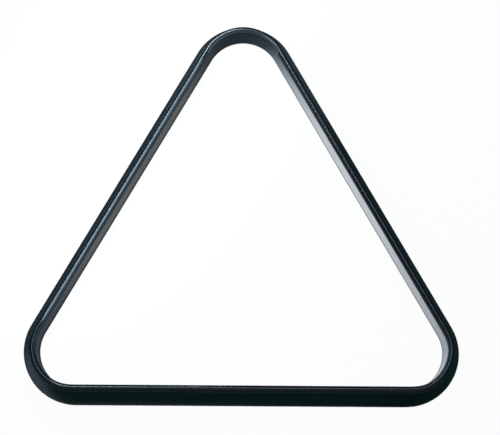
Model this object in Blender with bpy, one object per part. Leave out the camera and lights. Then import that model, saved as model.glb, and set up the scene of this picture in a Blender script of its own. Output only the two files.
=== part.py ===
"""Triangle rack for a full set of fifteen 57.15 mm pool balls.

The rack is a closed loop with three straight sides and three round corners. Its section is an
upside-down V: an upright inner wall that the balls touch, a rounded rim on top, and an outer
skirt that slopes out to the foot. Two mouldings make it up. The inner shell is the wall and the
rim. The outer shell is the skirt. A tongue on its top edge sits in a groove under the rim, held
by a snap bead, and a narrow ledge shows outside the rim. Ribs inside the skirt back up the wall.

A section is a list of (reach, height) points. Reach is the distance outwards from the triangle
that joins the three corner centres, so one section serves the sides and the corners.
The origin is the middle of the rack's footprint on the table, +Y points to the apex, +Z is up.
"""

import math

import bmesh
import bpy

# Driving dimensions, in metres.
BALL_DIAMETER = 0.05715
BALL_PLAY = 0.00086  # left between the racked balls and each wall
HEIGHT = 0.0320
FIT_GAP = 0.0003  # between the two shells, where they meet

WALL_REACH_FOOT = 0.0270  # ball side of the inner wall, at the table
WALL_REACH_TOP = 0.0273  # and where the rim starts: the difference is the mould's draft
WALL_THICKNESS = 0.0024
WALL_TOP = 0.0280
WALL_FOOT_FILLET = 0.0005

RIM_WIDTH = 0.0047
RIM_LIP_DROP = 0.0002  # the rim's outer lip hangs this far below the top of the wall
RIM_LIP_BOTTOM = WALL_TOP - RIM_LIP_DROP
GROOVE_WIDTH = 0.00135
GROOVE_DEPTH = 0.0018

SKIRT_STEP = 0.0003  # the skirt stands this far proud of the rim, as a narrow ledge
SKIRT_REACH_TOP = WALL_REACH_TOP + RIM_WIDTH + SKIRT_STEP
SKIRT_REACH_FOOT = 0.0390
SKIRT_TOP = RIM_LIP_BOTTOM - FIT_GAP
SKIRT_THICKNESS = 0.0019
SKIRT_BEND = 0.0013  # height where the slope would meet the upright foot
SKIRT_BEND_SPAN = 0.0006  # the bend is rounded this far above and below
SKIRT_FOOT_WIDTH = 0.0028  # the skirt is thicker at the table, where it rests
SKIRT_FOOT_FILLET = 0.0006

SNAP_SEAT = 0.0246  # height of the shoulder that the skirt's hook sits on
SNAP_HEIGHT = 0.0010
SNAP_REACH = 0.0007

RIB_THICKNESS = 0.0015
RIB_BOTTOM = 0.0010
RIBS_PER_SIDE = 7
RIB_OVERLAP = 0.0005  # how far a rib runs into the skirt

CORNER_STEPS = 16
RIM_STEPS = 14
FILLET_STEPS = 3
BEND_STEPS = 3
SHARP_ANGLE = math.radians(25)  # an edge that turns more than this is shaded as an edge

# The racked balls' outer centres make a triangle four balls long on each side. The corner centres'
# triangle is larger by the same margin all round: what the balls and their play need beyond the wall.
BALL_MARGIN = BALL_DIAMETER / 2 + BALL_PLAY - WALL_REACH_TOP
CORNER_SPACING = 4 * BALL_DIAMETER + 2 * math.sqrt(3) * BALL_MARGIN
CORNER_ANGLES = (math.radians(90), math.radians(210), math.radians(330))
CORNER_SWEEP = math.radians(120)
CORNER_DISTANCE = CORNER_SPACING / math.sqrt(3)  # from the triangle's centroid to a corner's centre
CENTROID_Y = -CORNER_DISTANCE / 4  # puts the middle of the footprint at the origin

INNER_COLOUR = (0.018, 0.022, 0.026)
INNER_ROUGHNESS = 0.32
OUTER_COLOUR = (0.012, 0.016, 0.018)
OUTER_ROUGHNESS = 0.28


def clear_scene():
    for obj in list(bpy.data.objects):
        bpy.data.objects.remove(obj, do_unlink=True)


def plastic(name, colour, roughness):
    material = bpy.data.materials.new(name)
    material.use_nodes = True
    shader = material.node_tree.nodes["Principled BSDF"]
    shader.inputs["Base Color"].default_value = (*colour, 1.0)
    shader.inputs["Roughness"].default_value = roughness
    shader.inputs["Metallic"].default_value = 0.0
    return material


def arc(centre, radii, start, end, steps):
    """Points on an ellipse from one angle to another, in degrees, both ends included."""
    points = []
    for step in range(steps + 1):
        angle = math.radians(start + (end - start) * step / steps)
        reach = centre[0] + radii[0] * math.cos(angle)
        height = centre[1] + radii[1] * math.sin(angle)
        points.append((reach, height))
    return points


def curve_between(start, bend, end, steps):
    """Points on a smooth bend that leaves start towards bend and arrives at end from it."""
    points = []
    for step in range(steps + 1):
        t = step / steps
        weights = ((1 - t) ** 2, 2 * t * (1 - t), t * t)
        reach = weights[0] * start[0] + weights[1] * bend[0] + weights[2] * end[0]
        height = weights[0] * start[1] + weights[1] * bend[1] + weights[2] * end[1]
        points.append((reach, height))
    return points


def wall_back(height):
    """Reach of the hidden face of the inner wall at a height."""
    draft = (WALL_REACH_TOP - WALL_REACH_FOOT) * height / WALL_TOP
    return WALL_REACH_FOOT + WALL_THICKNESS + draft


def skirt_front(height):
    """Reach of the skirt's straight outer slope at a height."""
    slope = (SKIRT_REACH_FOOT - SKIRT_REACH_TOP) / (SKIRT_TOP - SKIRT_BEND)
    return SKIRT_REACH_TOP + (SKIRT_TOP - height) * slope


def skirt_back(height):
    """Reach of the skirt's hidden inner slope at a height."""
    return skirt_front(height) - SKIRT_THICKNESS


def height_on_back(reach):
    """Height at which the skirt's hidden inner slope has a reach."""
    fall = (reach - skirt_back(SKIRT_TOP)) / (skirt_back(0) - skirt_back(SKIRT_TOP))
    return SKIRT_TOP * (1 - fall)


def inner_shell_section():
    """Inner wall, rim, groove under the rim, and the snap bead on the wall's back."""
    fillet = WALL_FOOT_FILLET
    rim_centre = (WALL_REACH_TOP + RIM_WIDTH / 2, WALL_TOP)
    rim_outer = WALL_REACH_TOP + RIM_WIDTH
    groove_inner = wall_back(WALL_TOP)
    groove_outer = groove_inner + GROOVE_WIDTH
    groove_top = RIM_LIP_BOTTOM + GROOVE_DEPTH
    bead_bottom = SNAP_SEAT - SNAP_HEIGHT

    foot_centre = (WALL_REACH_FOOT + fillet, fillet)
    section = arc(foot_centre, (fillet, fillet), 270, 180, FILLET_STEPS)
    section += arc(rim_centre, (RIM_WIDTH / 2, HEIGHT - WALL_TOP), 180, 0, RIM_STEPS)
    section += [
        (rim_outer, RIM_LIP_BOTTOM),
        (groove_outer, RIM_LIP_BOTTOM),
        (groove_outer, groove_top),
        (groove_inner, groove_top),
        (wall_back(RIM_LIP_BOTTOM), RIM_LIP_BOTTOM),
        (wall_back(SNAP_SEAT), SNAP_SEAT),
        (wall_back(SNAP_SEAT) + SNAP_REACH, SNAP_SEAT),
        (wall_back(SNAP_SEAT) + SNAP_REACH, SNAP_SEAT - SNAP_HEIGHT / 2),
        (wall_back(bead_bottom), bead_bottom),
        (wall_back(0), 0),
    ]
    return section


def outer_shell_section():
    """Skirt with its tongue on top, rounded foot, and the hook that sits on the snap bead."""
    fillet = SKIRT_FOOT_FILLET
    tongue_inner = wall_back(WALL_TOP) + FIT_GAP
    tongue_outer = wall_back(WALL_TOP) + GROOVE_WIDTH - FIT_GAP
    tongue_top = RIM_LIP_BOTTOM + GROOVE_DEPTH - FIT_GAP
    hook_bottom = SNAP_SEAT + FIT_GAP

    bend_bottom = (SKIRT_REACH_FOOT, SKIRT_BEND - SKIRT_BEND_SPAN)
    bend = (SKIRT_REACH_FOOT, SKIRT_BEND)
    bend_top = (skirt_front(SKIRT_BEND + SKIRT_BEND_SPAN), SKIRT_BEND + SKIRT_BEND_SPAN)
    foot_centre = (SKIRT_REACH_FOOT - fillet, fillet)
    foot_inner = SKIRT_REACH_FOOT - SKIRT_FOOT_WIDTH

    section = [
        (tongue_inner, tongue_top),
        (tongue_inner, hook_bottom),
        (skirt_back(hook_bottom), hook_bottom),
        (foot_inner, height_on_back(foot_inner)),
        (foot_inner, 0),
    ]
    section += arc(foot_centre, (fillet, fillet), 270, 360, FILLET_STEPS)
    section += curve_between(bend_bottom, bend, bend_top, BEND_STEPS)
    section += [
        (SKIRT_REACH_TOP, SKIRT_TOP),
        (tongue_outer, SKIRT_TOP),
        (tongue_outer, tongue_top),
    ]
    return section


def corner_centre(angle):
    x = CORNER_DISTANCE * math.cos(angle)
    y = CORNER_DISTANCE * math.sin(angle) + CENTROID_Y
    return x, y


def place(base, direction, reach, height):
    """The point at a reach and height, outwards from a base point on the centres' triangle."""
    x = base[0] + reach * math.cos(direction)
    y = base[1] + reach * math.sin(direction)
    return x, y, height


def stations():
    """Base point and outward direction of every step round the loop."""
    for angle in CORNER_ANGLES:
        base = corner_centre(angle)
        for step in range(CORNER_STEPS + 1):
            yield base, angle - CORNER_SWEEP / 2 + CORNER_SWEEP * step / CORNER_STEPS


def finished_object(name, bm, material=None):
    bmesh.ops.recalc_face_normals(bm, faces=bm.faces)
    mesh = bpy.data.meshes.new(name)
    bm.to_mesh(mesh)
    bm.free()
    mesh.shade_smooth()
    mesh.set_sharp_from_angle(angle=SHARP_ANGLE)
    obj = bpy.data.objects.new(name, mesh)
    bpy.context.scene.collection.objects.link(obj)
    if material:
        mesh.materials.append(material)
    return obj


def loop_of_section(name, section, material):
    """Runs a section once round the rack and closes it on itself."""
    bm = bmesh.new()
    rings = []
    for base, direction in stations():
        ring = [bm.verts.new(place(base, direction, *point)) for point in section]
        rings.append(ring)
    for ring, following in zip(rings, rings[1:] + rings[:1]):
        for i in range(len(section)):
            j = (i + 1) % len(section)
            bm.faces.new((ring[i], ring[j], following[j], following[i]))
    return finished_object(name, bm, material)


def rib_places():
    """Base point and outward direction of every rib: spread along each side, and one at each corner."""
    for number, angle in enumerate(CORNER_ANGLES):
        start = corner_centre(angle)
        end = corner_centre(CORNER_ANGLES[(number + 1) % len(CORNER_ANGLES)])
        outward = angle + CORNER_SWEEP / 2
        for rib in range(RIBS_PER_SIDE):
            share = rib / (RIBS_PER_SIDE - 1)
            x = start[0] + (end[0] - start[0]) * share
            y = start[1] + (end[1] - start[1]) * share
            yield (x, y), outward
        yield start, angle


def rib_profile():
    """Outline of one rib, from just behind the inner wall to just inside the skirt."""
    top = SNAP_SEAT - SNAP_HEIGHT - FIT_GAP
    return [
        (wall_back(RIB_BOTTOM) + FIT_GAP, RIB_BOTTOM),
        (skirt_back(RIB_BOTTOM) + RIB_OVERLAP, RIB_BOTTOM),
        (skirt_back(top) + RIB_OVERLAP, top),
        (wall_back(top) + FIT_GAP, top),
    ]


def rib_cluster():
    """All ribs as separate plates in one guide mesh, for joining to the skirt."""
    bm = bmesh.new()
    for base, outward in rib_places():
        sides = []
        for half in (-RIB_THICKNESS / 2, RIB_THICKNESS / 2):
            shifted = (base[0] - half * math.sin(outward), base[1] + half * math.cos(outward))
            sides.append([bm.verts.new(place(shifted, outward, *p)) for p in rib_profile()])
        bm.faces.new(sides[0])
        bm.faces.new(list(reversed(sides[1])))
        for i in range(len(sides[0])):
            j = (i + 1) % len(sides[0])
            bm.faces.new((sides[0][j], sides[0][i], sides[1][i], sides[1][j]))
    guide = finished_object("rib_guide", bm)
    guide.hide_render = True
    guide.display_type = "WIRE"
    return guide


def build_inner_shell():
    black = plastic("inner_shell_black_plastic", INNER_COLOUR, INNER_ROUGHNESS)
    return loop_of_section("inner_shell", inner_shell_section(), black)


def build_outer_shell():
    black = plastic("outer_shell_black_plastic", OUTER_COLOUR, OUTER_ROUGHNESS)
    shell = loop_of_section("outer_shell", outer_shell_section(), black)
    union = shell.modifiers.new("ribs", "BOOLEAN")
    union.operation = "UNION"
    union.solver = "EXACT"
    union.object = rib_cluster()
    return shell


clear_scene()
build_inner_shell()
build_outer_shell()
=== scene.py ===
"""The look of the triangle rack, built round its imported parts.

Two fine shells stand for the two packed mouldings: the wall with its rolled rim, and the skirt with
its ribs. Both are one section swept round the loop, with the small waves, sink marks and nicks of
used moulded plastic. Round them come worn black plastic, a white table, soft light and the camera.
"""

import math
import random

import bmesh
import bpy
from mathutils import Matrix, Quaternion, Vector, noise


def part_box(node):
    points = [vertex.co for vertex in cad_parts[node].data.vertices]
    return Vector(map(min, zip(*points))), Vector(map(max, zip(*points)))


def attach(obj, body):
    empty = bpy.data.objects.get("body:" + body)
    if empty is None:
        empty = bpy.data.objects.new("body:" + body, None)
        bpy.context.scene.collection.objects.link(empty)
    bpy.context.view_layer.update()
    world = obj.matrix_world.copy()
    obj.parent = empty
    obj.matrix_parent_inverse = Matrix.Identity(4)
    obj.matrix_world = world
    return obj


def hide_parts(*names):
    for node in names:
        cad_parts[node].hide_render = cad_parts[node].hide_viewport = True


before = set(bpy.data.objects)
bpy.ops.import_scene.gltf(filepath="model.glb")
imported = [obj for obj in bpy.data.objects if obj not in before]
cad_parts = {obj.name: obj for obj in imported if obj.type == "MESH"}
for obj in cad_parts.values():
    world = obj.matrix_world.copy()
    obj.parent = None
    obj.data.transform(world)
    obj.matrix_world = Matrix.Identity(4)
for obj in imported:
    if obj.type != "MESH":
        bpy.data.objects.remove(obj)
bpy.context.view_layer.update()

MM = 0.001
inner_low, inner_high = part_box("inner_shell")
outer_low, outer_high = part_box("outer_shell")

# The loop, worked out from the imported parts' boxes. Reach is the distance outwards from the triangle
# that joins the three corner centres.
LOOP_WIDTH = outer_high.x - outer_low.x
LOOP_DEPTH = outer_high.y - outer_low.y
CORNER_SPACING = (LOOP_WIDTH - LOOP_DEPTH) / (1 - math.sqrt(3) / 2)
CORNER_DISTANCE = CORNER_SPACING / math.sqrt(3)
CORNER_ANGLES = tuple(math.radians(a) for a in (90, 210, 330))
CORNER_SWEEP = math.radians(120)
FOOT_REACH = (LOOP_WIDTH - CORNER_SPACING) / 2
RIM_REACH = (inner_high.x - inner_low.x - CORNER_SPACING) / 2
CENTROID = Vector((0, outer_high.y - FOOT_REACH - CORNER_DISTANCE))
TABLE = outer_low.z
CREST = inner_high.z

# The section of the wall and rim.
WALL_REACH_FOOT = 27.0 * MM
WALL_REACH_TOP = 27.3 * MM
WALL_THICKNESS = 2.4 * MM
WALL_TOP = 28.0 * MM
WALL_FOOT_FILLET = 0.5 * MM
CREST_REACH = (WALL_REACH_TOP + RIM_REACH) / 2
CROWN_BREAK = 162  # degrees round the crown's arc where it breaks into the wall, 180 for no break
LIP_BOTTOM = 27.8 * MM
LIP_FILLET = 0.12 * MM
GROOVE_WIDTH = 1.35 * MM
GROOVE_DEPTH = 1.8 * MM
BEAD_TOP = 24.6 * MM
BEAD_HEIGHT = 1.0 * MM
BEAD_REACH = 0.7 * MM

# The section of the skirt and its ribs.
GAP = 0.3 * MM
LEDGE = 0.3 * MM
LEDGE_FILLET = 0.28 * MM
SKIRT_REACH_TOP = RIM_REACH + LEDGE
SKIRT_TOP = LIP_BOTTOM - GAP
SKIRT_THICKNESS = 1.9 * MM
SKIRT_BEND = 1.3 * MM
SKIRT_BEND_SPAN = 0.6 * MM
FOOT_WIDTH = 2.8 * MM
FOOT_FILLET = 0.6 * MM
RIB_THICKNESS = 1.5 * MM
RIB_BOTTOM = 1.0 * MM
RIB_TOP = BEAD_TOP - BEAD_HEIGHT - GAP
RIB_OVERLAP = 0.5 * MM
RIBS_PER_SIDE = 7

# The rim stands out further in the two near corners, where the skirt is steeper and the wall more open,
# and less far in the far corner.
CORNER_SPREADS = (-0.7 * MM, 0.9 * MM, 1.4 * MM)  # at the far, near left and near right corner
SPREAD_FADE = math.radians(35)  # over which it fades out at each end of a corner

# How fine the shells are.
CORNER_STEPS = 44
SIDE_STEPS = 150
CROWN_STEPS = 20
FACE_STEPS = 9
FILLET_STEPS = 5
FILLET_FIT = 0.98  # share of a foot's fillet that is kept, so that it ends before the next point
SHARP_ANGLE = math.radians(40)

# What use and moulding leave on them.
WAVE_HEIGHT = 0.035 * MM
WAVE_LENGTH = 38 * MM
SINK_DEPTH = 0.04 * MM
SINK_WIDTH = 2.4 * MM
NICK_SEED = 11
NICKS_ON_CREST = 26
NICKS_ON_FOOT = 34
CREST_NICK = (1.6 * MM, 0.05 * MM)  # size and depth of the largest
FOOT_NICK = (1.8 * MM, 0.14 * MM)
FOOT_NICK_HEIGHT = TABLE + 0.5 * MM
NICK_SIZES = (0.5, 1.0)  # shares of the largest
NICK_DEPTHS = (0.3, 1.0)
NICK_SCATTER = 0.4 * MM  # to either side of the edge


# ---- sections ----

def ellipse(centre, radii, start, end, steps):
    """Points on an ellipse from one angle to another, in degrees, both ends included."""
    points = []
    for step in range(steps + 1):
        angle = math.radians(start + (end - start) * step / steps)
        points.append(centre + Vector((radii[0] * math.cos(angle), radii[1] * math.sin(angle))))
    return points


def bend(start, corner, end, steps):
    """Points on a smooth bend that leaves start towards corner and arrives at end from it."""
    points = []
    for step in range(steps + 1):
        t = step / steps
        points.append(start.lerp(corner, t).lerp(corner.lerp(end, t), t))
    return points


def rounded(corners):
    """A closed outline from corners given as (reach, height, fillet size)."""
    points = []
    for index, (reach, height, fillet) in enumerate(corners):
        here = Vector((reach, height))
        if fillet == 0:
            points.append(here)
            continue
        before = Vector(corners[index - 1][:2])
        after = Vector(corners[(index + 1) % len(corners)][:2])
        start = here + (before - here).normalized() * fillet
        end = here + (after - here).normalized() * fillet
        points += bend(start, here, end, FILLET_STEPS)
    return points


def straight(start, end, steps):
    """Corners without a fillet spread along a line, both ends included."""
    return [(*start.lerp(end, step / steps), 0) for step in range(steps + 1)]


def wall_back(height):
    """Reach of the wall's hidden face at a height."""
    draft = (WALL_REACH_TOP - WALL_REACH_FOOT) * height / WALL_TOP
    return WALL_REACH_FOOT + WALL_THICKNESS + draft


def skirt_front(height):
    """Reach of the skirt's outer slope at a height."""
    slope = (FOOT_REACH - SKIRT_REACH_TOP) / (SKIRT_TOP - SKIRT_BEND)
    return SKIRT_REACH_TOP + (SKIRT_TOP - height) * slope


def skirt_back(height):
    """Reach of the skirt's hidden inner slope at a height."""
    return skirt_front(height) - SKIRT_THICKNESS


def crown():
    """The rim's rounded top, from the wall over the crest to the rim's outer edge."""
    rim_height = CREST - WALL_TOP
    inner_height = rim_height / (1 - math.sin(math.radians(CROWN_BREAK)))
    inner_width = (WALL_REACH_TOP - CREST_REACH) / math.cos(math.radians(CROWN_BREAK))
    inner_centre = Vector((CREST_REACH, CREST - inner_height))
    points = ellipse(inner_centre, (inner_width, inner_height), CROWN_BREAK, 90, CROWN_STEPS)
    outer_centre = Vector((CREST_REACH, WALL_TOP))
    outer_width = RIM_REACH - CREST_REACH
    return points + ellipse(outer_centre, (outer_width, rim_height), 90, 0, CROWN_STEPS)[1:]


def inner_section():
    """The wall and rim, with the groove and the snap bead on the hidden back."""
    wall_foot = Vector((WALL_REACH_FOOT, WALL_FOOT_FILLET))
    top = crown()
    groove_inner = wall_back(WALL_TOP)
    groove_outer = groove_inner + GROOVE_WIDTH
    groove_top = LIP_BOTTOM + GROOVE_DEPTH
    bead_bottom = BEAD_TOP - BEAD_HEIGHT
    corners = [
        (wall_back(0), TABLE, LIP_FILLET),
        (WALL_REACH_FOOT, TABLE, WALL_FOOT_FILLET * FILLET_FIT),
    ]
    corners += straight(wall_foot, top[0], FACE_STEPS)[1:-1]
    corners += [(*point, 0) for point in top]
    corners += [
        (RIM_REACH, LIP_BOTTOM, LIP_FILLET),
        (groove_outer, LIP_BOTTOM, LIP_FILLET),
        (groove_outer, groove_top, 0),
        (groove_inner, groove_top, 0),
        (wall_back(LIP_BOTTOM), LIP_BOTTOM, 0),
        (wall_back(BEAD_TOP), BEAD_TOP, 0),
        (wall_back(BEAD_TOP) + BEAD_REACH, BEAD_TOP, LIP_FILLET),
        (wall_back(BEAD_TOP) + BEAD_REACH, BEAD_TOP - BEAD_HEIGHT / 2, LIP_FILLET),
        (wall_back(bead_bottom), bead_bottom, 0),
    ]
    return rounded(corners)


def outer_section():
    """The skirt with its foot, and the tongue and hook that hold it to the wall."""
    tongue_inner = wall_back(WALL_TOP) + GAP
    tongue_outer = wall_back(WALL_TOP) + GROOVE_WIDTH - GAP
    tongue_top = LIP_BOTTOM + GROOVE_DEPTH - GAP
    hook_bottom = BEAD_TOP + GAP
    foot_inner = FOOT_REACH - FOOT_WIDTH
    fall = (foot_inner - skirt_back(SKIRT_TOP)) / (skirt_back(0) - skirt_back(SKIRT_TOP))
    foot_inner_top = SKIRT_TOP * (1 - fall)
    bend_low = Vector((FOOT_REACH, SKIRT_BEND - SKIRT_BEND_SPAN))
    bend_high = Vector((skirt_front(SKIRT_BEND + SKIRT_BEND_SPAN), SKIRT_BEND + SKIRT_BEND_SPAN))
    ledge_start = Vector((skirt_front(SKIRT_TOP - LEDGE_FILLET), SKIRT_TOP - LEDGE_FILLET))
    foot_bend = bend(bend_low, Vector((FOOT_REACH, SKIRT_BEND)), bend_high, FILLET_STEPS)
    corners = [
        (tongue_inner, tongue_top, LIP_FILLET),
        (tongue_inner, hook_bottom, LIP_FILLET),
        (skirt_back(hook_bottom), hook_bottom, 0),
        (foot_inner, foot_inner_top, 0),
        (foot_inner, TABLE, LIP_FILLET),
        (FOOT_REACH, TABLE, FOOT_FILLET * FILLET_FIT),
    ]
    corners += [(*point, 0) for point in foot_bend]
    corners += straight(bend_high, ledge_start, 2 * FACE_STEPS)[1:-1]
    corners += [
        (SKIRT_REACH_TOP, SKIRT_TOP, LEDGE_FILLET),
        (tongue_outer, SKIRT_TOP, 0),
        (tongue_outer, tongue_top, LIP_FILLET),
    ]
    return rounded(corners)


# ---- the loop ----

def corner_centre(angle):
    return CENTROID + CORNER_DISTANCE * Vector((math.cos(angle), math.sin(angle)))


def stations():
    """Base point and outward direction of every step round the loop."""
    for number, angle in enumerate(CORNER_ANGLES):
        base = corner_centre(angle)
        following = corner_centre(CORNER_ANGLES[(number + 1) % len(CORNER_ANGLES)])
        for step in range(CORNER_STEPS):
            yield base, angle - CORNER_SWEEP / 2 + CORNER_SWEEP * step / CORNER_STEPS
        for step in range(SIDE_STEPS):
            yield base.lerp(following, step / SIDE_STEPS), angle + CORNER_SWEEP / 2


def place(base, direction, reach, height):
    """The point at a reach and height, outwards from a base point."""
    x = base.x + reach * math.cos(direction)
    y = base.y + reach * math.sin(direction)
    return Vector((x, y, height))


def rib_places():
    """Base point and outward direction of every rib: along each side, and one at each corner."""
    for number, angle in enumerate(CORNER_ANGLES):
        start = corner_centre(angle)
        end = corner_centre(CORNER_ANGLES[(number + 1) % len(CORNER_ANGLES)])
        for rib in range(RIBS_PER_SIDE):
            yield start.lerp(end, rib / (RIBS_PER_SIDE - 1)), angle + CORNER_SWEEP / 2
        yield start, angle


def spread(direction, height):
    """How far a corner's rim stands out beyond the section of the sides."""
    total = 0
    for angle, most in zip(CORNER_ANGLES, CORNER_SPREADS):
        off = abs(math.remainder(direction - angle, math.tau))
        share = min(max((CORNER_SWEEP / 2 - off) / SPREAD_FADE, 0), 1)
        total += most * share * share * (3 - 2 * share)
    return total * min(height / WALL_TOP, 1)


def wave(base, direction, reach):
    """How far the mould's slow unevenness moves the section outwards."""
    return WAVE_HEIGHT * noise.noise(place(base, direction, reach, 0) / WAVE_LENGTH)


def sink(point, ribs):
    """How far the skirt's face is drawn in where a rib stands behind it."""
    nearest = min((point.xy - foot).length for foot in ribs)
    return SINK_DEPTH * math.exp(-((nearest / SINK_WIDTH) ** 2))


def mesh_object(name, bm):
    bmesh.ops.recalc_face_normals(bm, faces=bm.faces)
    mesh = bpy.data.meshes.new(name)
    bm.to_mesh(mesh)
    bm.free()
    mesh.shade_smooth()
    mesh.set_sharp_from_angle(angle=SHARP_ANGLE)
    obj = bpy.data.objects.new(name, mesh)
    bpy.context.scene.collection.objects.link(obj)
    return obj


def swept_loop(name, section, uneven):
    """Runs a section once round the loop. uneven says how far each point moves outwards."""
    bm = bmesh.new()
    rings = []
    for base, direction in stations():
        ring = []
        for reach, height in section:
            moved = reach + uneven(base, direction, reach, height)
            ring.append(bm.verts.new(place(base, direction, moved, height)))
        rings.append(ring)
    for ring, following in zip(rings, rings[1:] + rings[:1]):
        for i in range(len(section)):
            j = (i + 1) % len(section)
            bm.faces.new((ring[i], ring[j], following[j], following[i]))
    return mesh_object(name, bm)


def inner_shell():
    def uneven(base, direction, reach, height):
        return wave(base, direction, RIM_REACH) + spread(direction, height)

    return swept_loop("rack_wall_and_rim", inner_section(), uneven)


def rib_plates():
    """All ribs as separate plates in one hidden guide, for joining to the skirt."""
    profile = [
        (wall_back(RIB_BOTTOM) + GAP, RIB_BOTTOM),
        (skirt_back(RIB_BOTTOM) + RIB_OVERLAP, RIB_BOTTOM),
        (skirt_back(RIB_TOP) + RIB_OVERLAP, RIB_TOP),
        (wall_back(RIB_TOP) + GAP, RIB_TOP),
    ]
    bm = bmesh.new()
    for base, direction in rib_places():
        across = Vector((-math.sin(direction), math.cos(direction))) * RIB_THICKNESS / 2
        sides = []
        for shift in (-across, across):
            side = []
            for reach, height in profile:
                moved = reach + spread(direction, height)
                side.append(bm.verts.new(place(base + shift, direction, moved, height)))
            sides.append(side)
        bm.faces.new(sides[0])
        bm.faces.new(list(reversed(sides[1])))
        for i in range(len(profile)):
            j = (i + 1) % len(profile)
            bm.faces.new((sides[0][j], sides[0][i], sides[1][i], sides[1][j]))
    guide = mesh_object("rib_guide", bm)
    guide.hide_render = True
    guide.display_type = "WIRE"
    return guide


def outer_shell():
    ribs = [place(*rib, FOOT_REACH, 0).xy for rib in rib_places()]

    def uneven(base, direction, reach, height):
        moved = wave(base, direction, RIM_REACH) + spread(direction, height)
        if reach > skirt_front(height) - SKIRT_THICKNESS / 2 and height < RIB_TOP:
            moved -= sink(place(base, direction, FOOT_REACH, 0), ribs)
        return moved

    shell = swept_loop("rack_skirt_and_ribs", outer_section(), uneven)
    union = shell.modifiers.new("ribs", "BOOLEAN")
    union.operation = "UNION"
    union.solver = "EXACT"
    union.object = rib_plates()
    return shell


def nick(shell, seed, count, height, reach, size, depth):
    """Presses small dents into an edge that runs round the loop at a height and reach."""
    draw = random.Random(seed)
    places = list(stations())
    dents = []
    for _ in range(count):
        base, direction = draw.choice(places)
        centre = place(base, direction, reach + draw.uniform(-NICK_SCATTER, NICK_SCATTER), height)
        dents.append((centre, draw.uniform(*NICK_SIZES) * size, draw.uniform(*NICK_DEPTHS) * depth))
    for vertex in shell.data.vertices:
        if abs(vertex.co.z - height) > size:
            continue
        for centre, width, deep in dents:
            away = (vertex.co - centre).length / width
            if away < 1:
                vertex.co -= vertex.normal * deep * (1 - away * away) ** 2


# ---- node trees ----

class Nodes:
    """Short names for building the node tree of a material or a world."""

    def __init__(self, owner):
        owner.use_nodes = True
        self.owner = owner
        self.tree = owner.node_tree
        self.tree.nodes.clear()

    def add(self, kind, inputs=None, **settings):
        node = self.tree.nodes.new(kind)
        for key, value in settings.items():
            setattr(node, key, value)
        for key, value in (inputs or {}).items():
            self.feed(node, key, value)
        return node

    def feed(self, node, key, value):
        if isinstance(value, bpy.types.NodeSocket):
            self.tree.links.new(value, node.inputs[key])
        else:
            node.inputs[key].default_value = value

    def axes(self, vector):
        return self.add("ShaderNodeSeparateXYZ", {0: vector}).outputs

    def maths(self, operation, first, second=0.0, clamp=False):
        node = self.add("ShaderNodeMath", {0: first, 1: second}, operation=operation)
        node.use_clamp = clamp
        return node.outputs[0]

    def product(self, first, second):
        return self.maths("MULTIPLY", first, second)

    def total(self, first, *others):
        """The sum of all values, kept between 0 and 1 at the end."""
        for other in others[:-1]:
            first = self.maths("ADD", first, other)
        return self.maths("ADD", first, others[-1], clamp=True)

    def ramp(self, value, low, high, low_result=0.0, high_result=1.0):
        """A smooth step of value from low to high."""
        inputs = {"Value": value, "From Min": low, "From Max": high,
                  "To Min": low_result, "To Max": high_result}
        return self.add("ShaderNodeMapRange", inputs, interpolation_type="SMOOTHSTEP").outputs[0]

    def mix(self, share, first, second):
        """A colour between first and second."""
        node = self.add("ShaderNodeMix", data_type="RGBA")
        self.feed(node, 0, share)
        self.feed(node, 6, first)
        self.feed(node, 7, second)
        return node.outputs[2]

    def mix_shaders(self, share, first, second):
        """A shader between first and second."""
        return self.add("ShaderNodeMixShader", {0: share, 1: first, 2: second}).outputs[0]

    def glow(self, colour, strength):
        return self.add("ShaderNodeEmission", {"Color": colour, "Strength": strength}).outputs[0]

    def cloud(self, vector, scale, detail, rough):
        inputs = {"Vector": vector, "Scale": scale, "Detail": detail, "Roughness": rough}
        return self.add("ShaderNodeTexNoise", inputs).outputs[0]

    def bump(self, height, strength, distance, normal=None, invert=False):
        inputs = {"Strength": strength, "Distance": distance, "Height": height}
        if normal is not None:
            inputs["Normal"] = normal
        return self.add("ShaderNodeBump", inputs, invert=invert).outputs[0]


# ---- the plastic ----

BLUE_BLACK = (0.0020, 0.0032, 0.0042, 1)
GREEN_BLACK = (0.0006, 0.0030, 0.0032, 1)
WORN_GREY = (0.055, 0.060, 0.062, 1)
# Lighter grey just above the foot: worn plastic, and a painted highlight along the foot's lip.
FOOT_WEAR_AND_HIGHLIGHT_GREY = (0.070, 0.077, 0.080, 1)
FILM_GREY = (0.08, 0.14, 0.145, 1)
DUST_GREY = (0.30, 0.32, 0.33, 1)
WALL_ROUGHNESS = 0.16
SKIRT_ROUGHNESS = 0.28
WALL_FILM = 0.0  # strength of the film of dust
SKIRT_FILM = 0.5
PLASTIC_IOR = 1.5

# Noises: (cells per metre, detail, roughness). The streaks are noise on squeezed coordinates.
SMUDGES = (55.0, 4.0, 0.55)
PATCHES = (14.0, 3.0, 0.5)
GRAIN = (2600.0, 2.0, 0.5)
SCUFF_MARKS = (420.0, 5.0, 0.7)
STREAKS = (1.0, 3.0, 0.6)
STREAK_SQUEEZE = (45.0, 45.0, 2400.0)

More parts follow.
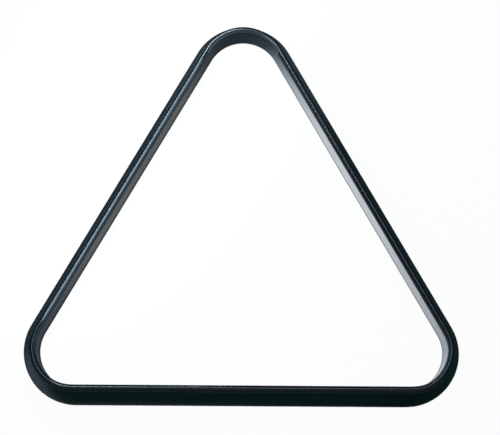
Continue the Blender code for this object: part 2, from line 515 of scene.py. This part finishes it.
# Smooth steps: (from, to), or (from, to, result before, result after).
STREAK_IS_SCRATCH = (0.62, 0.70)
SMUDGE_IS_SCRATCHED = (0.5, 0.62)
CREST_IS_RUBBED = (CREST - 1.1 * MM, CREST - 0.1 * MM)
# The band just above the foot that turns grey, for wear and for a painted highlight along the foot's lip.
FOOT_IS_SCUFFED_AND_LIT = (TABLE + 5.0 * MM, TABLE + 1.8 * MM)
MARK_IS_SCUFF = (0.25, 0.6, 0, 0.4)
PATCH_IS_SCUFFED_AND_LIT = (0.35, 0.65, 0.35, 0.75)
PATCH_IS_PALE = (0.3, 0.7)
ROUGHER_SMUDGES = (0.3, 0.7, -0.012, 0.015)
ROUGHER_PATCHES = (0.35, 0.7, -0.01, 0.015)
ROUGHER_CREST = (0.35, 0.6, 0, 0.04)
SMUDGE_HOLDS_FILM = (0.3, 0.6)
LEAST_FILM = 0.4  # where no smudge holds it, as a share of the most

# How much paler and rougher each mark makes the plastic.
PALE_PATCH_GAIN = 1.5
SCRATCH_PALENESS = 0.25
SCUFF_AND_HIGHLIGHT_PALENESS = 0.75
DUST_PALENESS = 0.7
SCRATCH_ROUGHNESS = 0.14
SCUFF_ROUGHNESS = 0.25
DUST_ROUGHNESS = 0.4

# Bumps: (strength, height).
GRAIN_BUMP = (0.06, 0.02 * MM)
SCRATCH_BUMP = (0.35, 0.03 * MM)
DUST_BUMP = (0.6, 0.12 * MM)

# Dust lies as specks, most of them round one height, where it also leaves a thin film.
SPECKS_PER_METRE = 210.0
SPECK_EDGE = (0.10, 0.05)  # in speck spacings
SPECKS_ANYWHERE = 0.05  # share of the places that hold a speck
SPECKS_AT_HEIGHT = 0.9
SPECK_FADE_BELOW = 0.4 * MM
FILM_FADE_BELOW = 0.3 * MM
FADE_ABOVE = 0.3 * MM


def scratches(n, axes, smudges):
    """Fine streaks along the loop, where the plastic is also smudged."""
    squeezed = {i: n.product(axes[i], scale) for i, scale in enumerate(STREAK_SQUEEZE)}
    streaks = n.cloud(n.add("ShaderNodeCombineXYZ", squeezed).outputs[0], *STREAKS)
    return n.product(n.ramp(streaks, *STREAK_IS_SCRATCH), n.ramp(smudges, *SMUDGE_IS_SCRATCHED))


def foot_scuffs_and_highlight(n, point, height, patches):
    """Grey just above the foot: wear, and a painted highlight along the foot's lip."""
    foot = n.ramp(height, *FOOT_IS_SCUFFED_AND_LIT)
    marks = n.product(n.cloud(point, *SCUFF_MARKS), foot)
    rubbed_and_lit = n.product(foot, n.ramp(patches, *PATCH_IS_SCUFFED_AND_LIT))
    return n.total(n.ramp(marks, *MARK_IS_SCUFF), rubbed_and_lit)


def around(n, height, middle, fade_below):
    """One at a height, fading to nothing below and above it."""
    below = n.ramp(height, middle - fade_below, middle)
    return n.product(below, n.ramp(height, middle + FADE_ABOVE, middle))


def dust_specks(n, point, height, dust_height, film_strength):
    """Round specks, one at most in each cell of a jumbled grid."""
    cells = n.add("ShaderNodeTexVoronoi", {"Vector": point, "Scale": SPECKS_PER_METRE}).outputs
    chance = n.add("ShaderNodeSeparateColor", {0: cells["Color"]}).outputs[0]
    near_height = around(n, height, dust_height, SPECK_FADE_BELOW)
    gathered = n.product(near_height, SPECKS_AT_HEIGHT * film_strength)
    lying = n.maths("LESS_THAN", chance, n.maths("ADD", gathered, SPECKS_ANYWHERE))
    return n.product(n.ramp(cells["Distance"], *SPECK_EDGE), lying)


def dust_film(n, height, smudges, dust_height, film_strength):
    """A thin film along one height, thickest on the smudges."""
    held = n.ramp(smudges, *SMUDGE_HOLDS_FILM, LEAST_FILM * film_strength, film_strength)
    return n.product(around(n, height, dust_height, FILM_FADE_BELOW), held)


def plastic(name, colour, roughness, dust_height, film_strength):
    """Black moulded plastic: fine grain, scratches, smudges, a worn crest, a worn foot with a painted
    highlight, dust.
    """
    n = Nodes(bpy.data.materials.new(name))
    point = n.add("ShaderNodeTexCoord").outputs["Object"]
    axes = n.axes(point)
    height = axes[2]
    smudges = n.cloud(point, *SMUDGES)
    patches = n.cloud(point, *PATCHES)
    scratched = scratches(n, axes, smudges)
    scuffed_and_lit = foot_scuffs_and_highlight(n, point, height, patches)
    dust = dust_specks(n, point, height, dust_height, film_strength)
    film = dust_film(n, height, smudges, dust_height, film_strength)

    paler = [channel * PALE_PATCH_GAIN for channel in colour[:3]] + [1]
    tone = n.mix(n.ramp(patches, *PATCH_IS_PALE), colour, paler)
    tone = n.mix(n.product(scratched, SCRATCH_PALENESS), tone, WORN_GREY)
    # Painted highlight with wear: the band just above the foot turns lighter grey.
    tone = n.mix(n.product(scuffed_and_lit, SCUFF_AND_HIGHLIGHT_PALENESS), tone, FOOT_WEAR_AND_HIGHLIGHT_GREY)
    tone = n.mix(film, tone, FILM_GREY)
    tone = n.mix(n.product(dust, DUST_PALENESS), tone, DUST_GREY)

    rough = n.total(
        roughness,
        n.ramp(smudges, *ROUGHER_SMUDGES),
        n.ramp(patches, *ROUGHER_PATCHES),
        n.product(scratched, SCRATCH_ROUGHNESS),
        n.product(n.ramp(height, *CREST_IS_RUBBED), n.ramp(smudges, *ROUGHER_CREST)),
        n.product(scuffed_and_lit, SCUFF_ROUGHNESS),
        n.product(dust, DUST_ROUGHNESS),
    )

    normal = n.bump(n.cloud(point, *GRAIN), *GRAIN_BUMP)
    normal = n.bump(scratched, *SCRATCH_BUMP, normal, invert=True)
    normal = n.bump(dust, *DUST_BUMP, normal)
    shader = n.add("ShaderNodeBsdfPrincipled", {
        "Base Color": tone, "Roughness": rough, "IOR": PLASTIC_IOR, "Normal": normal,
    })
    n.add("ShaderNodeOutputMaterial", {"Surface": shader.outputs[0]})
    return n.owner


# ---- the table ----

TABLE_HALF_SIZE = 4.0
TABLE_DROP = 0.05 * MM  # below the rack's foot
TABLE_WHITE = (0.86, 0.86, 0.86, 1)
TABLE_PALENESS = 0.96  # how far the camera's view of the table is lifted towards plain white

# What the plastic mirrors of the table, zone by zone.
LEFT_MIRRORED = (0.041, 0.059, 0.081, 1)
RIGHT_MIRRORED = (0.019, 0.036, 0.038, 1)
FRONT_MIRRORED = (0.016, 0.050, 0.050, 1)
FAR_FRONT_MIRRORED = (0.17, 0.20, 0.19, 1)
NEAR_RIGHT_MIRRORED = (0.012, 0.037, 0.035, 1)
NEAR_LEFT_MIRRORED = (0.118, 0.170, 0.225, 1)
BACK_MIRRORED = (0.070, 0.098, 0.130, 1)
GLOW_MIRRORED = (0.62, 0.82, 0.96, 1)
COUNTER_MIRRORED = (0.26, 0.38, 0.46, 1)
CONTACT_MIRRORED = (0.27, 0.31, 0.33, 1)

# Where one zone gives way to the next, in widths of the rack from its middle: (from, to).
LEFT_TO_RIGHT_X = (-0.20, 0.20)
BACK_Y = (0.16, 0.38)
NEAR_LEFT_X = (-0.30, -0.40)
NEAR_LEFT_Y = (-0.30, -0.38)
NEAR_RIGHT_X = (0.20, 0.40)
NEAR_RIGHT_Y = (-0.24, -0.36)
FRONT_Y = (-0.424, -0.459)
FAR_FRONT_Y = (-0.42, -0.55)
FAR_FRONT_AWAY = (30 * MM, 60 * MM)  # from the foot
CONTACT_X = (0.36, -0.45)
CONTACT_WIDTH = 3.0 * MM  # the white table right in front of the foot
CONTACT_SHARP = 0.1  # share of that width where the contact is at its whitest

# The front zone's edge runs back beside the rack, and stays further forward at the near left corner.
FRONT_SLANT = 0.6
FRONT_HELD_X = (-0.36, -0.42)
FRONT_HELD = 0.014

# The strip of table along the walls glows towards the left wall, and less towards the right one.
GLOW_AZIMUTH = math.radians(-20)  # the way one looks to see the glow
GLOW_CONE = (0.55, 0.95)  # cosines of the angle to that way
COUNTER_CONE = (-0.3, -0.8)


def flat_sheet(name, outline, height):
    """A horizontal sheet with an outline given in x and y."""
    bm = bmesh.new()
    bm.faces.new([bm.verts.new((x, y, height)) for x, y in outline])
    sheet = mesh_object(name, bm)
    return sheet


def flat_ring(name, inside, outside, height):
    """A horizontal ribbon round the loop between two reaches."""
    bm = bmesh.new()
    rungs = []
    for base, direction in stations():
        rungs.append([bm.verts.new(place(base, direction, reach, height)) for reach in (inside, outside)])
    for rung, following in zip(rungs, rungs[1:] + rungs[:1]):
        bm.faces.new((rung[0], rung[1], following[1], following[0]))
    ring = mesh_object(name, bm)
    return ring


def loop_distance(n, x, y):
    """Distance to the outline of the triangle that joins the corner centres, from outside or inside.

    Each side's line gives how far a point lies beyond it, and the three add up to a constant. Beside a
    side the largest one is the distance. Round a corner it follows from the two largest, whose
    directions are 120 degrees apart.
    """
    beyond = []
    for angle in CORNER_ANGLES:
        outward = angle + CORNER_SWEEP / 2
        along_x = n.product(x, math.cos(outward))
        along_y = n.product(n.maths("SUBTRACT", y, CENTROID.y), math.sin(outward))
        beyond.append(n.maths("SUBTRACT", n.maths("ADD", along_x, along_y), CORNER_DISTANCE / 2))
    first = n.maths("MAXIMUM", n.maths("MAXIMUM", beyond[0], beyond[1]), beyond[2])
    last = n.maths("MINIMUM", n.maths("MINIMUM", beyond[0], beyond[1]), beyond[2])
    second = n.maths("SUBTRACT", n.maths("SUBTRACT", -1.5 * CORNER_DISTANCE, first), last)
    second = n.maths("MAXIMUM", second, n.product(first, -0.5))
    squares = n.maths("ADD", n.maths("POWER", first, 2.0), n.product(second, second))
    squares = n.maths("ADD", squares, n.product(first, second))
    return n.maths("SQRT", n.maths("DIVIDE", squares, math.sin(CORNER_SWEEP) ** 2))


def zone(n, coordinate, span, *results):
    """A smooth step of a coordinate over a span given in widths of the rack."""
    return n.ramp(coordinate, span[0] * LOOP_WIDTH, span[1] * LOOP_WIDTH, *results)


def front_zone(n, x, y, distance):
    away = n.product(n.maths("SUBTRACT", distance, FOOT_REACH), FRONT_SLANT)
    held = zone(n, x, FRONT_HELD_X, 0, FRONT_HELD * LOOP_WIDTH)
    return zone(n, n.maths("ADD", n.maths("SUBTRACT", y, away), held), FRONT_Y)


def far_front_zone(n, y, distance):
    start, end = FAR_FRONT_AWAY
    return n.product(zone(n, y, FAR_FRONT_Y), n.ramp(distance, FOOT_REACH + start, FOOT_REACH + end))


def contact_zone(n, x, distance, front):
    edge = FOOT_REACH + CONTACT_WIDTH
    near = n.ramp(distance, edge, FOOT_REACH + CONTACT_SHARP * CONTACT_WIDTH)
    return n.product(n.product(near, zone(n, x, CONTACT_X)), front)


def wall_glow(n, incoming, distance, colour):
    """Adds what the walls see of the strip of table along them."""
    strip = n.maths("LESS_THAN", distance, WALL_REACH_FOOT)
    inputs = {0: incoming, 1: (-math.cos(GLOW_AZIMUTH), -math.sin(GLOW_AZIMUTH), 0)}
    towards = n.add("ShaderNodeVectorMath", inputs, operation="DOT_PRODUCT").outputs["Value"]
    colour = n.mix(n.product(n.ramp(towards, *GLOW_CONE), strip), colour, GLOW_MIRRORED)
    return n.mix(n.product(n.ramp(towards, *COUNTER_CONE), strip), colour, COUNTER_MIRRORED)


def table_mirrored(n):
    """What the plastic sees of the table: bluer on the left, greener in front, glowing by the walls."""
    where = n.add("ShaderNodeNewGeometry").outputs
    axes = n.axes(where["Position"])
    x, y = axes[0], axes[1]
    distance = loop_distance(n, x, y)
    near_left = n.product(zone(n, y, NEAR_LEFT_Y), zone(n, x, NEAR_LEFT_X))
    near_right = n.product(zone(n, y, NEAR_RIGHT_Y), zone(n, x, NEAR_RIGHT_X))
    front = front_zone(n, x, y, distance)
    colour = n.mix(zone(n, x, LEFT_TO_RIGHT_X), LEFT_MIRRORED, RIGHT_MIRRORED)
    colour = n.mix(zone(n, y, BACK_Y), colour, BACK_MIRRORED)
    colour = n.mix(near_left, colour, NEAR_LEFT_MIRRORED)
    colour = n.mix(front, colour, FRONT_MIRRORED)
    colour = n.mix(near_right, colour, NEAR_RIGHT_MIRRORED)
    colour = n.mix(far_front_zone(n, y, distance), colour, FAR_FRONT_MIRRORED)
    colour = n.mix(contact_zone(n, x, distance, front), colour, CONTACT_MIRRORED)
    return wall_glow(n, where["Incoming"], distance, colour)


def table():
    """A plain white table with a faint shadow, which the plastic mirrors much darker."""
    n = Nodes(bpy.data.materials.new("white_table"))
    lit = n.add("ShaderNodeBsdfDiffuse", {"Color": TABLE_WHITE}).outputs[0]
    ray = n.add("ShaderNodeLightPath").outputs
    paled = n.product(ray["Is Camera Ray"], TABLE_PALENESS)
    seen = n.mix_shaders(paled, lit, n.glow((1, 1, 1, 1), 1.0))
    surface = n.mix_shaders(ray["Is Glossy Ray"], seen, n.glow(table_mirrored(n), 1.0))
    n.add("ShaderNodeOutputMaterial", {"Surface": surface})
    half = TABLE_HALF_SIZE
    outline = ((-half, -half), (half, -half), (half, half), (-half, half))
    sheet = flat_sheet("table", outline, TABLE - TABLE_DROP)
    sheet.data.materials.append(n.owner)


# ---- the card ----

CARD_GLOW = 1.70
# From the card's left to its right edge: (share of the width, share of the glow, blueness).
CARD_STOPS = (
    (0.00, 0.08, 0.7), (0.06, 0.11, 0.5), (0.14, 0.165, 0.1), (0.36, 0.16, 0.1), (0.42, 0.09, 0.6),
    (0.455, 0.065, 0.9), (0.50, 0.07, 1.1), (0.545, 0.10, 1.1), (0.565, 0.22, 0.9), (0.585, 0.40, 0.7),
    (0.62, 0.68, 0.4), (0.68, 0.92, 0.3), (0.80, 0.91, 0.3), (0.90, 0.76, 0.3), (1.00, 0.56, 0.4),
)
CARD_BLUE = (0.58, 0.80, 1.0)
CARD_WIDTH = 7.8 * MM
CARD_GAP = 0.5 * MM  # between the card and the wall's foot
CARD_DROP = 0.02 * MM  # below the rack's foot
CARD_REACH = WALL_REACH_FOOT - CARD_GAP
FOOT_SHADE = 0.75  # how much dimmer the card is close to the left wall's foot
FOOT_SHADE_START = 1.5 * MM  # from the wall's foot
FOOT_SHADE_FULL = 0.8 * MM
FOOT_SHADE_X = (0.05, -0.05)  # in widths of the rack


def card_colour(n, x):
    """The card's colour from left to right, from its stops."""
    half_width = CORNER_SPACING / 2 + CARD_REACH
    share = n.add("ShaderNodeMapRange", {"Value": x, "From Min": -half_width, "From Max": half_width})
    ramp = n.add("ShaderNodeValToRGB", {0: share.outputs[0]})
    stops = ramp.color_ramp.elements
    while len(stops) < len(CARD_STOPS):
        stops.new(0.5)
    for stop, (where, bright, blueness) in zip(stops, CARD_STOPS):
        stop.position = where
        stop.color = (*(bright * (1 - blueness * (1 - blue)) for blue in CARD_BLUE), 1)
    return ramp.outputs[0]


def mirror_card():
    """A card on the table inside the rack, seen only in reflections, that lights up the walls."""
    n = Nodes(bpy.data.materials.new("mirror_card"))
    axes = n.axes(n.add("ShaderNodeTexCoord").outputs["Object"])
    x, y = axes[0], axes[1]
    distance = loop_distance(n, x, y)
    at_foot = n.ramp(distance, WALL_REACH_FOOT - FOOT_SHADE_START, WALL_REACH_FOOT - FOOT_SHADE_FULL)
    shade = n.product(at_foot, zone(n, x, FOOT_SHADE_X, 0, FOOT_SHADE))
    strength = n.product(n.maths("SUBTRACT", 1.0, shade), CARD_GLOW)
    n.add("ShaderNodeOutputMaterial", {"Surface": n.glow(card_colour(n, x), strength)})
    card = flat_ring("mirror_card", CARD_REACH - CARD_WIDTH, CARD_REACH, TABLE - CARD_DROP)
    card.data.materials.append(n.owner)
    card.visible_camera = False
    card.visible_diffuse = False
    card.visible_shadow = False


# ---- light ----

SKY_TINT = (0.50, 0.85, 1.0, 1)
SKY_BRIGHTNESS = 0.22
COOL_WHITE = (0.72, 0.87, 1.0)
BLUE_WHITE = (0.62, 0.82, 1.0)
UP = Vector((0, 0, 1))
FROM_FRONT = Vector((0, -1, 0))

# Two panels hang low over the crest, where it mirrors them into the camera.
LEFT_OUTWARD = math.radians(150)  # outward direction of the left side
BACK_LEFT = math.radians(130)  # outward direction in the left half of the far corner
KEY_HEIGHT = 80 * MM  # above the crest
KEY_WIDTH = 12 * MM
BACK_KEY_WIDTH = 27 * MM
BACK_KEY_LENGTH = 50 * MM
KEY_BRIGHTNESS = 42.0

# Upright panels stand close inside the rim and face it: (height of the middle above the crest, height
# of the panel, brightness).
UPRIGHT_GAP = 18 * MM  # inwards from the crest
SIDE_LOW = (5 * MM, 8 * MM, 7.0)
SIDE_HIGH = (28 * MM, 38 * MM, 7.2)
SIDE_COVER = 0.95  # share of the left side's length
FAR_CORNER = (14 * MM, 60 * MM, 0.8)
FAR_CORNER_WIDTH = 60 * MM


def sky():
    """Pale all round for the camera, dim blue for everything else."""
    world = bpy.data.worlds.new("studio")
    bpy.context.scene.world = world
    n = Nodes(world)
    dim = n.add("ShaderNodeBackground", {0: SKY_TINT, 1: SKY_BRIGHTNESS}).outputs[0]
    pale = n.add("ShaderNodeBackground", {0: (1, 1, 1, 1), 1: 1.0}).outputs[0]
    seen = n.add("ShaderNodeLightPath").outputs["Is Camera Ray"]
    n.add("ShaderNodeOutputWorld", {0: n.mix_shaders(seen, dim, pale)})


def panel(name, position, towards, size, brightness, colour, spin=0.0):
    """A rectangular light that faces against a direction, turned about that direction by spin."""
    data = bpy.data.lights.new(name, "AREA")
    data.shape = "RECTANGLE"
    data.size = size[0]
    data.size_y = size[1]
    data.energy = brightness * math.pi * size[0] * size[1]
    data.color = colour
    light = bpy.data.objects.new(name, data)
    light.location = position
    light.rotation_mode = "QUATERNION"
    light.rotation_quaternion = towards.to_track_quat("Z", "Y") @ Quaternion((0, 0, 1), spin)
    light.visible_camera = False
    bpy.context.scene.collection.objects.link(light)


def upright(name, foot, towards, width, middle, height, brightness):
    """A panel that stands above or below a point level with the crest."""
    panel(name, foot + UP * middle, towards, (width, height), brightness, BLUE_WHITE)


def soft_light(name, azimuth, elevation, distance, size, brightness, colour):
    """A panel aimed at the middle of the rack. Azimuth 0 is +X and 90 is +Y, in degrees."""
    a = math.radians(azimuth)
    e = math.radians(elevation)
    towards = Vector((math.cos(a) * math.cos(e), math.sin(a) * math.cos(e), math.sin(e)))
    panel(name, towards * distance, towards, size, brightness, colour)


def lights():
    far_corner = corner_centre(CORNER_ANGLES[0])
    start = place(corner_centre(CORNER_ANGLES[1]), LEFT_OUTWARD, CREST_REACH, CREST)
    end = place(far_corner, LEFT_OUTWARD, CREST_REACH, CREST)
    middle = (start + end) / 2
    length = (end - start).length
    from_left = -Vector((math.cos(LEFT_OUTWARD), math.sin(LEFT_OUTWARD), 0))

    to_panel = Vector((0, math.cos(CAMERA_ELEVATION) / math.sin(CAMERA_ELEVATION), 1)) * KEY_HEIGHT
    over_left = middle + to_panel - from_left * KEY_WIDTH / 2
    panel("key", over_left, UP, (KEY_WIDTH, length), KEY_BRIGHTNESS, COOL_WHITE, LEFT_OUTWARD)
    over_back = place(far_corner, BACK_LEFT, CREST_REACH + BACK_KEY_WIDTH / 2, CREST) + to_panel
    back_size = (BACK_KEY_WIDTH, BACK_KEY_LENGTH)
    panel("back_key", over_back, UP, back_size, KEY_BRIGHTNESS, COOL_WHITE, BACK_LEFT)

    beside = middle + from_left * UPRIGHT_GAP
    upright("side_low", beside, from_left, SIDE_COVER * length, *SIDE_LOW)
    upright("side_high", beside, from_left, SIDE_COVER * length, *SIDE_HIGH)
    before_corner = place(far_corner, CORNER_ANGLES[0], CREST_REACH - UPRIGHT_GAP, CREST)
    upright("far_corner", before_corner, FROM_FRONT, FAR_CORNER_WIDTH, *FAR_CORNER)

    soft_light("overhead", azimuth=90, elevation=82, distance=1.4, size=(0.55, 0.55),
               brightness=6.2, colour=BLUE_WHITE)
    soft_light("front_low", azimuth=270, elevation=10, distance=1.2, size=(1.8, 0.42),
               brightness=0.20, colour=COOL_WHITE)


# ---- camera ----

CAMERA_ELEVATION = math.radians(78.47)
CAMERA_TURN = math.radians(1.85)  # round the vertical
CAMERA_ROLL = math.radians(2.20)
CAMERA_LENS = 155.5  # on the standard 36 mm sensor
CAMERA_DISTANCE = 5.03  # in widths of the rack
CAMERA_CLIP = (0.05, 50)
AIM = Vector((0.0180, -0.0083, 0))  # on the table, in widths of the rack from the middle of its footprint


def camera():
    data = bpy.data.cameras.new("camera")
    data.lens = CAMERA_LENS
    data.clip_start, data.clip_end = CAMERA_CLIP
    obj = bpy.data.objects.new("camera", data)
    bpy.context.scene.collection.objects.link(obj)
    turn = Matrix.Rotation(-CAMERA_TURN, 4, "Z")
    tilt = Matrix.Rotation(math.radians(90) - CAMERA_ELEVATION, 4, "X")
    roll = Matrix.Rotation(CAMERA_ROLL, 4, "Z")
    aim = Matrix.Translation(AIM * LOOP_WIDTH)
    away = Matrix.Translation((0, 0, CAMERA_DISTANCE * LOOP_WIDTH))
    obj.matrix_world = aim @ turn @ tilt @ roll @ away
    bpy.context.scene.camera = obj


# ---- putting it together ----

def dress(shell, node, material):
    """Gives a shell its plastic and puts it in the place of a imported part."""
    shell.data.materials.append(material)
    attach(shell, "root")
    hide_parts(node)


wall_and_rim = inner_shell()
nick(wall_and_rim, NICK_SEED, NICKS_ON_CREST, CREST, CREST_REACH, *CREST_NICK)
dress(wall_and_rim, "inner_shell",
      plastic("blue_black_plastic", BLUE_BLACK, WALL_ROUGHNESS, CREST, WALL_FILM))

skirt_and_ribs = outer_shell()
nick(skirt_and_ribs, NICK_SEED + 1, NICKS_ON_FOOT, FOOT_NICK_HEIGHT, FOOT_REACH, *FOOT_NICK)
dress(skirt_and_ribs, "outer_shell",
      plastic("green_black_plastic", GREEN_BLACK, SKIRT_ROUGHNESS, SKIRT_TOP, SKIRT_FILM))

table()
mirror_card()
sky()
lights()
camera()
bpy.context.scene.view_settings.view_transform = "Standard"
